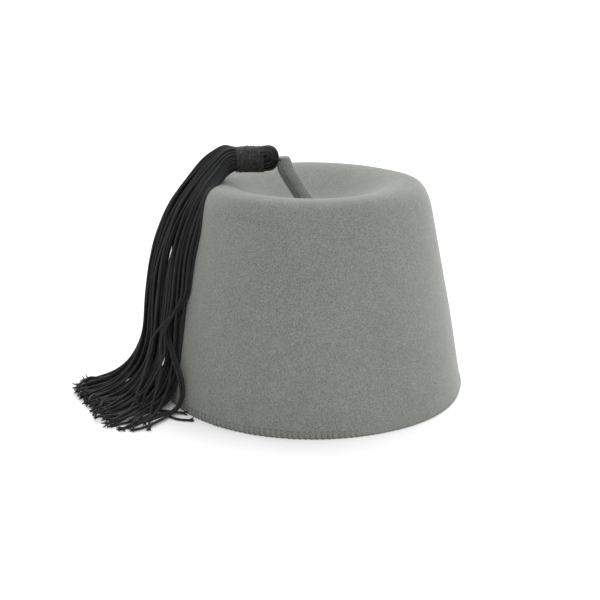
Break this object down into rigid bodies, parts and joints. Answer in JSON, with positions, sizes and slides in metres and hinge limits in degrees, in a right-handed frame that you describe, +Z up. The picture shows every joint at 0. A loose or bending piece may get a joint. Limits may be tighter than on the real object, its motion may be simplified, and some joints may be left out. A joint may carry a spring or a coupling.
{
  "type": "fez hat",
  "caption": "Stiff grey wool-felt fez with a dished top, a rolled felt stalk, and a long black cord tassel that hangs over its side and fans out where it lands",
  "frame": {"origin": "centre of the oval head opening, level with the surface the rim stands on", "axes": "+Z up through the middle of the crown, -Y the front of the hat, -X the side over which the tassel hangs"},
  "size_m": [0.2286, 0.2024, 0.1373],
  "materials": {
    "crown": "matte felted wool with a short nap, mid grey and slightly mottled, overstitched round the rim",
    "stalk": "matte felted wool rolled tight, mid grey",
    "tassel": "spun black cord with a low satin sheen and fine slanting ribs",
    "tassel_binding": "black thread wound in close turns, low sheen",
    "tie_cord": "thin black twisted cord, low sheen"
  },
  "bodies": {
    "root": {"crown": "crown", "stalk": "stalk", "tassel": "tassel", "tassel_binding": "tassel_binding", "tie_cord": "tie_cord"}
  },
  "joints": []
}
